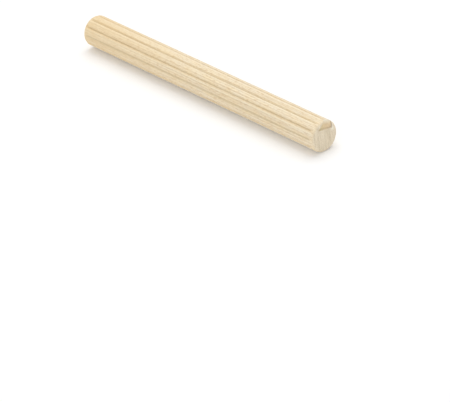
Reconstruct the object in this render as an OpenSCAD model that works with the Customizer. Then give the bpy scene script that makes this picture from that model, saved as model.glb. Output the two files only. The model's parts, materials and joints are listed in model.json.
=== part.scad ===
// Fluted wooden dowel pin, lying on its side with its axis along X.
// The origin is the middle of the pin, on its axis, and one flute faces the surface that the pin lies on.
// A splinter is broken out of the upper rim of the +X end.

/* [Pin] */
// Diameter over the lands between the flutes
pin_d = 9.5; // [7:0.1:16]
// Length from sawn end to sawn end
pin_l = 101.6; // [30:0.1:160]

/* [Flutes] */
// How many straight flutes run along the pin
flute_n = 11; // [6:1:14]
// Width of a flute between its two edges
flute_w = 1.0; // [0.4:0.05:1.4]
// Depth of a flute below the surface of the lands
flute_depth = 0.35; // [0.2:0.05:0.5]

/* [Ends] */
// Radius that rounds the rim of each end
rim_r = 1.1; // [0.4:0.1:1.6]

/* [Broken rim] */
// Width of the break along its lower edge, on the end face
break_w = 4.3; // [1:0.1:5]
// Width of the break where it opens at the lands
break_top_w = 2.3; // [0.8:0.1:4]
// Distance of the upright wall of the break from the axis, on the +Y side
break_wall = 1.9; // [0.5:0.1:2.5]
// Height of the lower edge of the break above the axis
break_h = 2.4; // [0.5:0.1:2.8]
// How far the break runs back from the end face
break_l = 1.3; // [0.6:0.1:3]
// Depth of the ledge along the lower edge of the break
break_ledge = 0.4; // [0:0.1:0.5]
// Turn of the break about the axis, from straight up towards +Y
break_turn = 17; // [0:1:60]

/* [Hidden] */
pale_wood = [0.94, 0.86, 0.73];
$fn = 96;
pin_r = pin_d / 2;
face_r = pin_r - rim_r;
shank_l = pin_l - 2 * rim_r;
// Straight bands that make up the rounding of a rim
rim_bands = 4;
// The floor of a flute is an arc through its two edges and its deepest line
flute_edge_r = sqrt(pow(pin_r, 2) - pow(flute_w / 2, 2));
flute_floor_r = pin_r - flute_depth;
flute_sag = flute_edge_r - flute_floor_r;
flute_arc_r = (pow(flute_w / 2, 2) + pow(flute_sag, 2)) / (2 * flute_sag);
// Cuts run on past the surfaces that they open
overrun = 1;

// A point of the rounded rim, as its radius and its distance from the middle of the pin
function rim_point(i) = let (a = 90 * i / rim_bands)
    [face_r + rim_r * cos(a), shank_l / 2 + rim_r * sin(a)];

// Half of the lengthwise section: a straight shank between two rounded rims
module half_section() {
    near_rim = [for (i = [0 : rim_bands]) rim_point(i)];
    far_rim = [for (i = [rim_bands : -1 : 0]) [rim_point(i)[0], -rim_point(i)[1]]];
    polygon(concat([[0, -pin_l / 2]], far_rim, near_rim, [[0, pin_l / 2]]));
}

// The turned blank, before the flutes are pressed in
module blank() {
    rotate([0, 90, 0]) rotate_extrude() half_section();
}

// One flute along the bottom of the pin
module flute() {
    translate([0, 0, -flute_floor_r - flute_arc_r])
        rotate([0, 90, 0]) cylinder(r = flute_arc_r, h = pin_l + 2 * overrun, center = true);
}

// Outline of the break on the end face: a straight lower edge, an upright wall and a leaning one
module break_outline() {
    polygon([[break_wall - break_w, break_h], [break_wall, break_h], [break_wall, pin_r + overrun],
        [break_wall - break_top_w, pin_r + overrun], [break_wall - break_top_w, pin_r]]);
}

// Lengthwise section of the break: a facet that climbs from the back of the ledge to the lands
module break_section() {
    polygon([[overrun, break_h], [-break_ledge, break_h], [-break_l, pin_r],
        [-break_l, pin_r + overrun], [overrun, pin_r + overrun]]);
}

// Space of the lost splinter, inside both its outline and its section
module broken_rim() {
    rotate([-break_turn, 0, 0]) translate([pin_l / 2, 0, 0]) intersection() {
        rotate([90, 0, 90]) linear_extrude(2 * (break_l + overrun), center = true) break_outline();
        rotate([90, 0, 0]) linear_extrude(2 * pin_d, center = true) break_section();
    }
}

module dowel_pin() {
    color(pale_wood) difference() {
        blank();
        for (i = [0 : flute_n - 1]) rotate([i * 360 / flute_n, 0, 0]) flute();
        broken_rim();
    }
}

dowel_pin();
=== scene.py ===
# %% [markdown]
# # A fluted dowel pin in bare pale wood
# A dowel pin is a short round rod of hard wood that joins two boards. It is cut from a turned rod,
# straight flutes are pressed along it so that glue and air can escape, and its ends are sawn off and
# tumbled until the rims are round. The solid model already has the pin's true size. This lesson loads
# it as a fixed frame and dresses it: one closed surface for the pin, a wood finish, a floor, light and
# a camera.

import json
import math

import bpy
import numpy as np
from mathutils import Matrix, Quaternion, Vector


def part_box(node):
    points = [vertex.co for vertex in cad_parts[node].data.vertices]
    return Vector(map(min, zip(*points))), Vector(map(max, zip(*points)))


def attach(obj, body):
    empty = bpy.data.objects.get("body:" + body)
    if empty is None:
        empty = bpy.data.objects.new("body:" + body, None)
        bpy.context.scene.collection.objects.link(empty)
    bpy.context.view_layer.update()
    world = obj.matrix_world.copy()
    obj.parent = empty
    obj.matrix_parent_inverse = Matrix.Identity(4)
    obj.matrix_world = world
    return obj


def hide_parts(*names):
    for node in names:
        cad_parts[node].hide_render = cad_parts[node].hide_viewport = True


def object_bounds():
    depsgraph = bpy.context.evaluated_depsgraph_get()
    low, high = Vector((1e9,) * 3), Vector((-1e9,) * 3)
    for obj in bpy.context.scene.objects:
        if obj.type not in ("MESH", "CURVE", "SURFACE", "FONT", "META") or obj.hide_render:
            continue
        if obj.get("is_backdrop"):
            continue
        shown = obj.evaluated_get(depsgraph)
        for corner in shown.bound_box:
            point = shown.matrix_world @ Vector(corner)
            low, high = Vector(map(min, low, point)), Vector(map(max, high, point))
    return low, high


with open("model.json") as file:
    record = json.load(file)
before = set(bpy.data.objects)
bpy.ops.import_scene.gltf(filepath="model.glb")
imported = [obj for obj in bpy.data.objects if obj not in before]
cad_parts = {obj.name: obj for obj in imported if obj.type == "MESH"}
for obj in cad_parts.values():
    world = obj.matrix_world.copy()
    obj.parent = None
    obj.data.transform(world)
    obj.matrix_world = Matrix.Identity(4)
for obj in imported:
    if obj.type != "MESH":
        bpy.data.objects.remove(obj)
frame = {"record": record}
cad_box = [list(corner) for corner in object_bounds()]

MM = 0.001
mounts = {mount["name"]: mount for mount in frame["record"]["mounts"]}
pin_r = mounts["shank"]["dims"]["r_mm"] * MM
shank_l = mounts["shank"]["dims"]["length_mm"] * MM
low_corner, high_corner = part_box("dowel_pin")
pin_l = high_corner.x - low_corner.x
rim_r = (pin_l - shank_l) / 2
face_r = pin_r - rim_r
print(f"pin {pin_l / MM:.1f} mm long, {2 * pin_r / MM:.2f} mm thick, rims rounded {rim_r / MM:.2f} mm")

# %% [markdown]
# ## The blank
# Before the flutes are pressed in, the pin is a turned rod. Blender could spin a profile with a Screw
# modifier, but the flutes and the broken rim change the surface from place to place, so the pin is
# worked out as one grid of points: stations run from the middle of the far end, out over its rim, along
# the shank and in again over the near end, and at each station a full turn of points goes round the
# axis. The turn starts at the top and goes towards the camera's side, which is -Y.

# %% Stations along the half section, and turns round the axis
turn_count = 360
face_rings = 34
rim_steps = 12
shank_steps = 150
# The last plain station of the shank stays clear of the first station of the near rim
rim_clearance = 0.15 * MM


def half_section():
    """Stations as (x, radius): the far face from its middle outwards, a quarter circle of the rim's
    radius, the straight shank, and the same quarter circle and face again in the opposite order."""
    face = face_r * np.arange(1, face_rings) / face_rings
    swing = np.linspace(0, np.pi / 2, rim_steps + 1)
    rim_x = shank_l / 2 + rim_r * np.sin(swing)
    rim_radius = face_r + rim_r * np.cos(swing)
    shank = np.linspace(-shank_l / 2, shank_l / 2 - rim_clearance, shank_steps + 1)[1:]
    face_x = np.full_like(face, pin_l / 2)
    shank_radius = np.full_like(shank, pin_r)
    x = np.concatenate([-face_x, -rim_x[::-1], shank, rim_x, face_x])
    radius = np.concatenate([face, rim_radius[::-1], shank_radius, rim_radius, face[::-1]])
    return x[:, None], radius[:, None]


station_x, station_r = half_section()
turn = np.linspace(0, 2 * np.pi, turn_count, endpoint=False)[None, :]
print(f"{station_x.size} stations with {turn_count} points each")

# %% [markdown]
# ## Uneven wood
# No wooden surface is quite true. A sum of a few cosine waves with drawn lengths and starts gives a
# gentle unevenness that is the same at each run. Waves that wind a whole number of times round the axis
# close at the seam, so nothing shows where the turn ends.


# %% Waves round the pin
def ripple(winds, shortest, count, seed):
    """Unevenness over the grid, about -1 to 1: the sum of cosine waves, each with a whole number of
    winds round the axis and its own length along it, divided by the spread of such a sum."""
    draw = np.random.default_rng(seed)
    wind = draw.integers(0, winds + 1, count)[:, None, None]
    run = draw.uniform(-1, 1, count)[:, None, None] * 2 * np.pi / shortest
    start = draw.uniform(0, 2 * np.pi, count)[:, None, None]
    return np.cos(wind * turn + run * station_x + start).sum(0) / math.sqrt(2 * count)


# %% [markdown]
# ## The flutes
# Eleven straight flutes are pressed, not cut: a ribbed roller pushes the fibres down, which leaves a
# narrow valley and squeezes up a faint ridge on each side of it, a stronger one where the roller leaves
# the wood. The solid has each flute as a plain round channel of the same width and depth, and one of
# them faces the floor. Here the valley gets its soft edges and its ridges, and it wanders a little in
# depth as the pressed wood springs back unevenly. Towards the ends it is worn shallow.

# %% Flute depth over the grid
flute_n = 11
flute_w = 1.0 * MM
flute_depth = 0.35 * MM
flute_round = 0.60
flute_power = 3.5
ridge_place = 1.30
ridge_width = 0.50
ridge_height = 0.040 * MM
weak_ridge = 0.30
# One flute on the camera's side was pressed by a blunter rib, so it is rounder and wider
soft_flute = 8
soft_spread = 1.75
soft_power = 2.0
# Over its last stretch a flute is worn shallow by the tumbling of the ends, more at the near end
worn_length = 1.6 * MM
worn_onto_rim = 0.5 * MM
worn_near = 0.80
worn_far = 0.35
# How much the depth of a flute wanders, and how deep the lands are rubbed
spring_share = 0.10
wear_depth = 0.008 * MM


def from_flute():
    """Number of the nearest flute, counted from the bottom, and the distance from its middle line
    across the pin over half the width of a flute, which is minus where the flute lies further round."""
    pitch = 2 * np.pi / flute_n
    number = np.mod(np.floor((turn - np.pi) / pitch + 0.5), flute_n)
    off = np.mod(turn - np.pi + pitch / 2, pitch) - pitch / 2
    return number, pin_r * np.sin(off) / (flute_w / 2)


# Share of a flute's full depth, exp(-(distance / roundness) ** power), and share of the ridge beside it
flute_number, across_flute = from_flute()
is_soft = flute_number == soft_flute
roundness = flute_round * np.where(is_soft, soft_spread, 1)
power = np.where(is_soft, soft_power, flute_power)
valley = np.exp(-((np.abs(across_flute) / roundness) ** power))
ridge = np.exp(-(((np.abs(across_flute) - ridge_place) / ridge_width) ** 2))
ridge *= np.where((across_flute > 0) & ~is_soft, 1, weak_ridge)
to_rim = np.clip(1 + (np.abs(station_x) - shank_l / 2 - worn_onto_rim) / worn_length, 0, 1)
worn = 1 - np.where(station_x > 0, worn_near, worn_far) * to_rim ** 2 * (3 - 2 * to_rim)
spring_back = spring_share * ripple(winds=9, shortest=14 * MM, count=24, seed=4)
land_wear = wear_depth * (1 + ripple(winds=14, shortest=9 * MM, count=30, seed=7))
land_r = pin_r - ridge_height * (1 - ridge) * worn - land_wear.clip(0)
radius = np.minimum(station_r, land_r - flute_depth * valley * worn * (1 + spring_back))
groove = np.where(station_r > pin_r - flute_depth, valley * worn, 0.0) * np.ones_like(radius)
deepest = (pin_r - radius[station_r[:, 0] == pin_r].min()) / MM
print(f"{flute_n} flutes, {flute_w / MM:.1f} mm wide, up to {deepest:.2f} mm deep")

# %% [markdown]
# ## The sawn ends
# The ends are cut across the fibres by a fast saw, which leaves fine upright marks. Here they are a sum
# of waves across the face that lean a little, pressed into the face so that the pin gets no longer.

# %% Saw marks on both faces
saw_depth = 0.05 * MM
saw_lean = -0.05

y = -radius * np.sin(turn)
z = radius * np.cos(turn)
endness = np.clip((np.abs(station_x) - shank_l / 2) / rim_r, 0, 1) ** 3 * np.ones_like(radius)


def saw_marks(across, shortest, longest, count, seed):
    """Depth of the marks, 0 to about 2: the sum of cosine waves across the face, with lengths drawn
    between the shortest and the longest mark, raised so that few points lie above the sawn plane."""
    draw = np.random.default_rng(seed)
    length = draw.uniform(shortest, longest, count)[:, None, None]
    start = draw.uniform(0, 2 * np.pi, count)[:, None, None]
    return (1 + np.cos(2 * np.pi * across / length + start).sum(0) / math.sqrt(2 * count)).clip(0)


marks = saw_marks(y + saw_lean * z, shortest=0.35 * MM, longest=2.2 * MM, count=16, seed=12)
x = station_x - np.sign(station_x) * saw_depth * marks * endness
print(f"saw marks up to {saw_depth * marks.max() / MM:.2f} mm deep")

# %% [markdown]
# ## The broken rim
# A splinter has broken out of the top of the near end. It left a torn facet that climbs from a straight
# lower edge on the face back to the lands, between an upright wall and a leaning one. A Boolean cut
# would leave long thin faces, so the grid is pushed instead: wherever a point stands past the facet, it
# is moved back along the pin's axis, which is the way the fibres run. A small share of the distance is
# kept, so no two points meet.

# %% Push the grid back to the torn facet
break_w = 4.3 * MM
break_top_w = 2.3 * MM
break_wall = 1.9 * MM
break_h = 2.4 * MM
break_l = 1.3 * MM
ledge = 0.4 * MM
facet_tilt = 0.8
break_turn = math.radians(17)
wall_slope = 12.0
lean_slope = 2.6
edge_slope = 12.0
edge_fall = 0.08
corner_depth = 0.25 * MM
corner_reach = 1.1 * MM
tear_depth = 0.035 * MM
tear_lean = 0.2
kept_share = 0.03
# A point that has been pushed this far back lies in fresh wood
fresh_push = 0.12 * MM

break_across = y * math.cos(break_turn) - z * math.sin(break_turn)
break_up = z * math.cos(break_turn) + y * math.sin(break_turn)
# The lower edge falls a little from the upright wall towards the leaning one
lower_edge = break_h + edge_fall * (break_across - break_wall)
climb = (break_up - lower_edge) / (pin_r - break_h)
leaning = break_wall - break_w + (break_w - break_top_w) * climb
# Nearness to the deepest corner, where the lower edge meets the leaning wall: 1 there, less further off
corner_across = break_across - break_wall + break_w
corner_up = break_up - break_h + edge_fall * break_w
corner = np.exp(-np.hypot(corner_across, corner_up) / corner_reach)


def torn_facet():
    """X of the facet: back from the end face by a ledge at the lower edge, growing to the length of the
    break at the lands, more of both towards the leaning wall and less towards the upright one, and by
    the depth of the corner and of the ragged fibres, with steep climbs outside the outline."""
    leaned = break_across + tear_lean * break_up
    ragged = saw_marks(leaned, shortest=0.16 * MM, longest=0.8 * MM, count=14, seed=21)
    outside = wall_slope * (break_across - break_wall).clip(0)
    outside += lean_slope * (leaning - break_across).clip(0)
    outside += edge_slope * (lower_edge - break_up).clip(0)
    tilt = 1 + facet_tilt * (break_wall - break_w / 2 - break_across) / break_w
    back = (ledge + (break_l - ledge) * climb) * tilt
    return pin_l / 2 - back - corner_depth * corner - tear_depth * ragged + outside


facet_x = torn_facet()
push = (x - facet_x).clip(0)
x = x - (1 - kept_share) * push
break_share = np.clip(push / fresh_push, 0, 1)
print(f"{int((push > 0).sum())} points pushed back, up to {push.max() / MM:.2f} mm")

# %% [markdown]
# The upright wall of the break is a split. Along its foot lies a line of painted shade, and beside it a
# strip of painted highlight, where the rim of the wood catches the light. Both are thin lines along the
# wall, so they are worked out here as shares from 0 to 1, and the finish colours them later.

# %% Painted shade in the split and the painted highlight beside it
shade_line_place = 0.16 * MM
shade_line_width = 0.11 * MM
shade_line_strength = 1.6
highlight_place = 0.55 * MM
highlight_width = 0.18 * MM
highlight_strength = 1.4
highlight_share = 0.50
lowest_climb = -0.05
highest_climb = 0.85


def beside_wall(place, width, strength):
    """Share of a line along the upright wall: the strength less the distance from the line's place over
    its width, held between 0 and 1, and only along the height of the break on the near end."""
    line = np.clip(strength - np.abs(break_across - break_wall - place) / width, 0, 1)
    return line * (climb > lowest_climb) * (climb < highest_climb) * (station_x > shank_l / 2)


# Painted shade along the foot of the upright wall, and a painted highlight on the strip beside it
crease_shade = beside_wall(shade_line_place, shade_line_width, shade_line_strength)
split_highlight = beside_wall(highlight_place, highlight_width, highlight_strength)
print(f"{int((crease_shade > 0).sum())} points hold dirt, {int((split_highlight > 0).sum())} show the fresh edge")

# %% [markdown]
# The lower edge of the facet is a narrow ledge, and the same painted shade is laid along its corner. At
# the foot of the split a small spot is painted paler still, as a painted highlight.

# %% Painted shade on the ledge and a painted highlight at the foot of the split
ledge_shade_place = 0.10 * MM
ledge_shade_width = 0.25 * MM
ledge_shade_strength = 1.2
ledge_shade_share = 0.50
# Place and size of the spot of painted highlight at the foot of the split
spot_place = 0.62 * MM
spot_drop = 0.30 * MM
spot_r = 0.42 * MM

# The painted shade on the ledge is a line along the lower edge that fades out towards the deepest
# corner. The painted highlight is exp(-(distance / radius) ** 2) round its middle
ledge_line = np.clip(ledge_shade_strength - np.abs(break_up - lower_edge - ledge_shade_place) / ledge_shade_width, 0, 1)
crease_shade = np.maximum(crease_shade, ledge_shade_share * ledge_line * (1 - corner) * break_share)
from_spot = np.hypot(break_across - break_wall - spot_place, break_up - lower_edge + spot_drop)
highlight_spot = np.exp(-((from_spot / spot_r) ** 2)) * (station_x > shank_l / 2)
split_highlight = np.maximum(highlight_share * split_highlight, highlight_spot)
ledge_shaded = int((ledge_line * break_share > 0).sum())
print(f"{ledge_shaded} points hold dust, and the pale place is {2 * spot_r / MM:.1f} mm wide")

# %% [markdown]
# ## One closed mesh
# The grid becomes a mesh of four-sided faces between neighbouring stations and turns, with a fan of
# triangles round the middle of each end. Eight attributes go with it, so that the finish knows what
# each point is: how deep in a flute, how high on a ridge, how much of the sawn end, how far torn, how
# near the deepest corner of the tear, how far up the tear, and how much of the painted shade and of
# the painted highlight along the split.


# %% Build the pin
def closed_grid(name, grid, first_pole, last_pole):
    """Faces of a grid of rings that is closed round each ring and by a pole at each end. A face takes a
    point, its neighbour round the ring, and the same two on the next ring, in the order that points
    outwards."""
    rings, around = grid.shape[:2]
    points = np.vstack([grid.reshape(-1, 3), first_pole, last_pole])
    index = np.arange(rings * around).reshape(rings, around)
    beside = np.roll(index, -1, axis=1)
    quads = np.stack([index[:-1], beside[:-1], beside[1:], index[1:]], axis=-1).reshape(-1, 4)
    first = np.stack([np.full(around, rings * around), beside[0], index[0]], axis=-1)
    last = np.stack([np.full(around, rings * around + 1), index[-1], beside[-1]], axis=-1)
    mesh = bpy.data.meshes.new(name)
    mesh.from_pydata(points.tolist(), [], quads.tolist() + first.tolist() + last.tolist())
    mesh.shade_smooth()
    piece = bpy.data.objects.new(name, mesh)
    bpy.context.scene.collection.objects.link(piece)
    return piece


pin_grid = np.stack([x * np.ones_like(y), y, z], axis=-1)
far_pole = pin_grid[0].mean(0) * (1, 0, 0)
near_pole = pin_grid[-1].mean(0) * (1, 0, 0)
fluted_pin = closed_grid("fluted_pin", pin_grid, far_pole, near_pole)


def mark(piece, name, values, poles):
    """Keeps a number for each point of the piece, with the two poles last."""
    attribute = piece.data.attributes.new(name, "FLOAT", "POINT")
    attribute.data.foreach_set("value", np.append(values.ravel(), poles).astype(np.float32))


mark(fluted_pin, "groove", groove, (0, 0))
# The ridge share is also painted pale by the finish, as a painted highlight
mark(fluted_pin, "ridge", ridge * worn, (0, 0))
mark(fluted_pin, "end_grain", endness, (1, 1))
mark(fluted_pin, "broken", break_share, (0, 0))
mark(fluted_pin, "torn_corner", corner * break_share, (0, 0))
mark(fluted_pin, "tear_climb", climb.clip(0, 1) * break_share, (0, 0))
# The last two hold the painted shade along the split and the ledge, and the painted highlight beside the
# split
mark(fluted_pin, "crease_shade", crease_shade, (0, 0))
mark(fluted_pin, "split_highlight", split_highlight, (0, 0))
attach(fluted_pin, "root")
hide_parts("dowel_pin")
print(f"fluted_pin has {len(fluted_pin.data.vertices)} points and {len(fluted_pin.data.polygons)} faces")

# %% [markdown]
# ## The wood finish
# The wood is pale, dense and close grained, planed and never varnished. Several sizes of pattern make
# it up: broad bands of early and late wood that run the whole length, soft patches, fine fibres a third
# of a millimetre wide, short flecks and short dark pores. All of them are noise that is stretched along
# X, read from Object coordinates, so the pattern stays in the wood at any pose. Image textures could do
# it, but they would repeat and would need a photograph.


# %% Helpers for colours and nodes
def srgb(red, green, blue):
    """Linear colour of a 0 to 255 colour: ((c + 0.055) / 1.055) ** 2.4 over most of the range."""
    c = np.array([red, green, blue]) / 255
    return (*np.where(c <= 0.04045, c / 12.92, ((c + 0.055) / 1.055) ** 2.4), 1.0)


wood = bpy.data.materials.new("bare_pale_wood")
wood.use_nodes = True
tree = wood.node_tree
tree.nodes.clear()


def add(kind, **settings):
    """A node of the wood finish, with its settings."""
    made = tree.nodes.new("ShaderNode" + kind)
    for name, value in settings.items():
        setattr(made, name, value)
    return made


def join(source, socket):
    """A link from one socket to another."""
    tree.links.new(source, socket)


object_place = add("TexCoord").outputs["Object"]


def stretched_noise(length, width, depth, detail, roughness):
    """Noise whose patches are about that long along X, wide along Y and deep along Z: the place is
    divided by those lengths before the noise reads it."""
    stretch = add("Mapping")
    stretch.inputs["Scale"].default_value = (1 / length, 1 / width, 1 / depth)
    join(object_place, stretch.inputs["Vector"])
    noise = add("TexNoise")
    noise.inputs["Scale"].default_value = 1.0
    noise.inputs["Detail"].default_value = detail
    noise.inputs["Roughness"].default_value = roughness
    join(stretch.outputs["Vector"], noise.inputs["Vector"])
    return noise.outputs["Fac"]


def ramp(source, *stops):
    """Colours between stops, each a place from 0 to 1 and a linear colour."""
    made = add("ValToRGB")
    band = made.color_ramp
    while len(band.elements) < len(stops):
        band.elements.new(0.5)
    for element, (place, colour) in zip(band.elements, stops):
        element.position = place
        element.color = colour
    join(source, made.inputs["Fac"])
    return made.outputs["Color"]


def blend_colours(kind, share, below, above):
    """Mixes two colours. The share and the upper colour are a socket or a plain value."""
    made = add("Mix", data_type="RGBA", blend_type=kind)
    for socket, value in zip((made.inputs[0], made.inputs[6], made.inputs[7]), (share, below, above)):
        if isinstance(value, bpy.types.NodeSocket):
            join(value, socket)
        else:
            socket.default_value = value
    return made.outputs[2]


def attribute(name):
    """The number that the mesh keeps under that name."""
    return add("Attribute", attribute_name=name).outputs["Fac"]


def in_range(source, low, high, to_low, to_high):
    """A number moved from one range to another, held at its ends."""
    made = add("MapRange")
    for name, value in zip(("From Min", "From Max", "To Min", "To Max"), (low, high, to_low, to_high)):
        made.inputs[name].default_value = value
    join(source, made.inputs["Value"])
    return made.outputs["Result"]


print("helpers for the finish are ready")

# %% [markdown]
# Along the shank the broad bands go between a cream and a light straw colour, and each finer pattern
# darkens them by its share. The far half grows more golden, as wood is where a rod was cut near the
# heart, and the near end is a little bleached. A ridge is painted pale as a painted highlight, strongest
# below each flute, where light from above falls on it. A flute is painted a shade darker: partly denser
# pressed wood, partly painted shade in the valley.

# %% Colour of the shank
# How strongly each pattern shows
fibre_share = 0.90
pore_share = 0.25
fleck_share = 0.50
hue_share = 0.70
ridge_highlight_share = 0.45
golden_share = 0.55
bleached_share = 0.15
groove_shade_share = 0.52

broad = stretched_noise(length=110 * MM, width=2.4 * MM, depth=2.4 * MM, detail=3, roughness=0.5)
fibre = stretched_noise(length=60 * MM, width=0.30 * MM, depth=0.30 * MM, detail=3, roughness=0.6)
pores = stretched_noise(length=2.6 * MM, width=0.16 * MM, depth=0.16 * MM, detail=1, roughness=0.5)
flecks = stretched_noise(length=1.3 * MM, width=0.34 * MM, depth=0.34 * MM, detail=2, roughness=0.5)
patches = stretched_noise(length=5 * MM, width=1.2 * MM, depth=1.2 * MM, detail=2, roughness=0.5)

cream = srgb(254, 240, 214)
straw = srgb(248, 231, 199)
white = srgb(255, 255, 255)
shank_colour = ramp(broad, (0.30, cream), (0.70, straw))
fibre_tone = ramp(fibre, (0.25, srgb(226, 216, 202)), (0.62, white))
shank_colour = blend_colours("MULTIPLY", fibre_share, shank_colour, fibre_tone)
pore_tone = ramp(pores, (0.27, srgb(205, 183, 150)), (0.36, white))
shank_colour = blend_colours("MULTIPLY", pore_share, shank_colour, pore_tone)
fleck_tone = ramp(flecks, (0.33, srgb(226, 208, 180)), (0.52, white))
shank_colour = blend_colours("MULTIPLY", fleck_share, shank_colour, fleck_tone)
hue_tone = ramp(patches, (0.32, srgb(255, 250, 236)), (0.68, srgb(250, 252, 255)))
shank_colour = blend_colours("MULTIPLY", hue_share, shank_colour, hue_tone)
place = add("SeparateXYZ")
join(object_place, place.inputs["Vector"])
# Painted highlight: the ridges are painted paler, most the ridge below each flute, where light from above
# falls
ridge_highlight = in_range(attribute("ridge"), 0.2, 1, 0, ridge_highlight_share)
shank_colour = blend_colours("MIX", ridge_highlight, shank_colour, srgb(255, 244, 216))
golden = add("Math", operation="MULTIPLY")
join(in_range(place.outputs["X"], -pin_l / 2, 0, golden_share, 0), golden.inputs[0])
join(in_range(patches, 0.35, 0.65, 0.55, 1.45), golden.inputs[1])
shank_colour = blend_colours("MIX", golden.outputs[0], shank_colour, srgb(240, 212, 163))
bleached = in_range(place.outputs["X"], 0.2 * pin_l, 0.5 * pin_l, 0, bleached_share)
shank_colour = blend_colours("MIX", bleached, shank_colour, srgb(253, 241, 216))
# Painted shade: the flutes are painted darker, partly as denser pressed wood and partly as shade in the
# valley
groove_shade = in_range(attribute("groove"), 0.55, 1, 0, groove_shade_share)
shank_colour = blend_colours("MIX", groove_shade, shank_colour, srgb(200, 182, 143))
print("shank: bands, fibres, pores, flecks, patches, pale ridges and darker flutes")

# %% [markdown]
# On the sawn ends the fibres are seen end on. They drink in dust and look greyer, with upright streaks
# from the saw. The torn facet is fresh wood, tan and ragged. It turns a pale olive towards its deepest
# corner. It is painted palest at its top and darker lower down, as painted shade of the recess.

# %% Colour of the sawn ends and of the torn facet
speck_share = 0.6
tear_top_light_share = 0.9
corner_share = 0.9
crease_shade_share = 0.65

streaks = stretched_noise(length=20 * MM, width=0.5 * MM, depth=5 * MM, detail=3, roughness=0.6)
specks = stretched_noise(length=0.3 * MM, width=0.22 * MM, depth=0.3 * MM, detail=2, roughness=0.6)
end_colour = ramp(streaks, (0.30, srgb(227, 212, 184)), (0.68, srgb(251, 238, 213)))
speck_tone = ramp(specks, (0.3, srgb(222, 210, 190)), (0.55, white))
end_colour = blend_colours("MULTIPLY", speck_share, end_colour, speck_tone)
torn = stretched_noise(length=2 * MM, width=0.35 * MM, depth=1.2 * MM, detail=3, roughness=0.6)
torn_colour = ramp(torn, (0.3, srgb(225, 198, 155)), (0.68, srgb(242, 218, 179)))
# Painted shade: the facet is painted paler towards its top and stays darker low in the recess
tear_top_light = in_range(attribute("tear_climb"), 0.45, 0.95, 0, tear_top_light_share)
torn_colour = blend_colours("MIX", tear_top_light, torn_colour, srgb(255, 247, 225))
in_corner = in_range(attribute("torn_corner"), 0.05, 0.4, 0, corner_share)
torn_colour = blend_colours("MIX", in_corner, torn_colour, srgb(240, 229, 188))

end_share = in_range(attribute("end_grain"), 0.15, 0.75, 0, 1)
wood_colour = blend_colours("MIX", end_share, shank_colour, end_colour)
wood_colour = blend_colours("MIX", attribute("broken"), wood_colour, torn_colour)
# Painted highlight: the strip beside the split and the spot at its foot are painted pale
wood_colour = blend_colours("MIX", attribute("split_highlight"), wood_colour, srgb(255, 249, 231))
# Painted shade: the lines at the foot of the split and along the ledge are painted dark
painted_shade = in_range(attribute("crease_shade"), 0, 1, 0, crease_shade_share)
wood_colour = blend_colours("MIX", painted_shade, wood_colour, srgb(150, 130, 104))
print("ends: grey beige with streaks; break: tan, with a dirty split and a pale edge")

# %% [markdown]
# Bare wood is matte. The roughness follows the fibres a little, and a faint sheen stands for the fine
# fuzz on planed wood. Two bump maps add what is too fine for the mesh: fibres along the shank and
# specks on the sawn ends.

# %% Surface of the wood
smoothest = 0.62
roughest = 0.78
sheen = 0.25
sheen_roughness = 0.35
fibre_relief = 0.05 * MM
fibre_strength = 0.5
speck_relief = 0.06 * MM
speck_strength = 0.6

shader = add("BsdfPrincipled")
join(wood_colour, shader.inputs["Base Color"])
join(in_range(fibre, 0.3, 0.7, smoothest, roughest), shader.inputs["Roughness"])
shader.inputs["Sheen Weight"].default_value = sheen
shader.inputs["Sheen Roughness"].default_value = sheen_roughness
fibre_bump = add("Bump")
fibre_bump.inputs["Strength"].default_value = fibre_strength
fibre_bump.inputs["Distance"].default_value = fibre_relief
join(fibre, fibre_bump.inputs["Height"])
speck_bump = add("Bump")
speck_bump.inputs["Distance"].default_value = speck_relief
join(in_range(attribute("end_grain"), 0.2, 1, 0, speck_strength), speck_bump.inputs["Strength"])
join(specks, speck_bump.inputs["Height"])
join(fibre_bump.outputs["Normal"], speck_bump.inputs["Normal"])
join(speck_bump.outputs["Normal"], shader.inputs["Normal"])
join(shader.outputs["BSDF"], add("OutputMaterial").inputs["Surface"])
fluted_pin.data.materials.append(wood)
print(f"{len(tree.nodes)} nodes in the wood finish")

# %% [markdown]
# ## Floor and light
# A pin in a catalogue lies on white paper under soft light. The floor is a wide pale sheet just under
# the pin. To the camera it glows a little, so that it comes out white and still keeps the pin's shadow.
# The light is an even white sky with two large soft lamps. One stands above and a little behind, which
# makes the upper lands and the upper side of each ridge the brightest, and one stands low in front and
# fills in the sawn end.


# %% Floor
def straight_or_mirrored():
    """1 on a ray that comes straight from the camera, or from it by way of a mirror or a glass, and 0
    on the rays that only carry light: the greatest of the three."""
    paths = add("LightPath")
    mirrored = add("Math", operation="MAXIMUM")
    join(paths.outputs["Is Glossy Ray"], mirrored.inputs[0])
    join(paths.outputs["Is Transmission Ray"], mirrored.inputs[1])
    either = add("Math", operation="MAXIMUM")
    join(paths.outputs["Is Camera Ray"], either.inputs[0])
    join(mirrored.outputs[0], either.inputs[1])
    return either.outputs[0]


floor_size = 4.0
floor_glow = 0.14
floor_white = 0.90

bpy.ops.mesh.primitive_plane_add(size=floor_size, location=(0, 0, low_corner.z))
floor = bpy.context.object
floor.name = "floor"
paper = bpy.data.materials.new("white_paper")
paper.use_nodes = True
tree = paper.node_tree
tree.nodes.clear()
matte = add("BsdfDiffuse")
matte.inputs["Color"].default_value = (floor_white, floor_white, floor_white, 1)
glow = add("Emission")
join(in_range(straight_or_mirrored(), 0, 1, 0, floor_glow), glow.inputs["Strength"])
both = add("AddShader")
join(matte.outputs[0], both.inputs[0])
join(glow.outputs[0], both.inputs[1])
join(both.outputs[0], add("OutputMaterial").inputs["Surface"])
floor.data.materials.append(paper)
floor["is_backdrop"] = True
print(f"floor at {low_corner.z / MM:.2f} mm")

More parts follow.
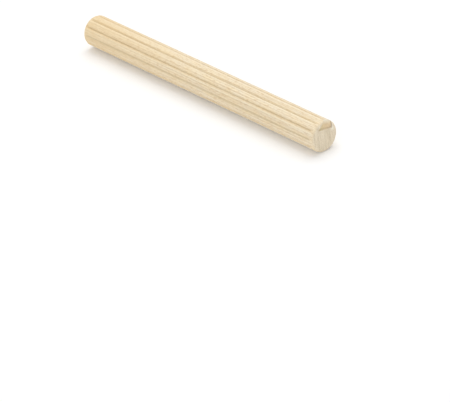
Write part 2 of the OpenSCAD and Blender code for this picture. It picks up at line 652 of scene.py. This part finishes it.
# %% Sky and lamps
sky_light = 0.64
lamp_size = 0.9
top_watts = 4.2
top_place = (-0.15, 0.25, 0.9)
fill_watts = 3.3
fill_place = (0.50, -1.10, 0.15)

world = bpy.data.worlds.new("soft_sky")
bpy.context.scene.world = world
world.use_nodes = True
tree = world.node_tree
tree.nodes.clear()
sky = add("Background")
sky.inputs["Color"].default_value = (1, 1, 1, 1)
join(in_range(straight_or_mirrored(), 0, 1, sky_light, 1), sky.inputs["Strength"])
join(sky.outputs[0], add("OutputWorld").inputs["Surface"])


def soft_lamp(name, watts, place):
    """A square soft lamp, turned from its place towards the pin."""
    data = bpy.data.lights.new(name, "AREA")
    data.energy = watts
    data.shape = "SQUARE"
    data.size = lamp_size
    lamp = bpy.data.objects.new(name, data)
    lamp.location = place
    lamp.rotation_euler = (-Vector(place)).to_track_quat("-Z", "Y").to_euler()
    bpy.context.scene.collection.objects.link(lamp)


soft_lamp("top_lamp", top_watts, top_place)
soft_lamp("fill_lamp", fill_watts, fill_place)
bpy.context.scene.view_settings.view_transform = "Standard"
print(f"sky at {sky_light}, lamps of {top_watts} and {fill_watts} W")

# %% [markdown]
# ## Camera
# The pin is seen from above its near end with a long lens, so its far end is hardly smaller. The view
# is given as two angles, a roll, a distance and where the pin's middle stands to the side of and above
# the line of sight. The roll is there because the pin in the picture is turned a little about its axis,
# and this one lies on one of its flutes.

# %% Place the camera
view_azimuth = math.radians(53.49)
view_elevation = math.radians(31.51)
view_roll = math.radians(-8.76)
view_distance = 1.041
pin_to_right = -5.36 * MM
pin_above = 34.31 * MM
image_width = 450
focal_pixels = 3627
sensor_width = 36.0

camera_data = bpy.data.cameras.new("camera")
camera_data.sensor_width = sensor_width
camera_data.lens = focal_pixels / image_width * sensor_width
camera_data.clip_start = 0.01
camera_data.clip_end = 20
camera = bpy.data.objects.new("camera", camera_data)
bpy.context.scene.collection.objects.link(camera)
bpy.context.scene.camera = camera
back = Vector((math.sin(view_azimuth) * math.cos(view_elevation),
               -math.cos(view_azimuth) * math.cos(view_elevation), math.sin(view_elevation)))
facing = (-back).to_track_quat("-Z", "Y") @ Quaternion((0, 0, 1), view_roll)
right, up = facing @ Vector((1, 0, 0)), facing @ Vector((0, 1, 0))
camera.location = back * view_distance - right * pin_to_right - up * pin_above
camera.rotation_euler = facing.to_euler()
print(f"camera {view_distance:.2f} m away with a {camera_data.lens:.0f} mm lens")

# %% Measure and finish
visual_box = [list(corner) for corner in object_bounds()]
cad_size = np.subtract(cad_box[1], cad_box[0]) / MM
visual_size = np.subtract(visual_box[1], visual_box[0]) / MM
print(f"solid {np.round(cad_size, 2)} mm, dressed {np.round(visual_size, 2)} mm")
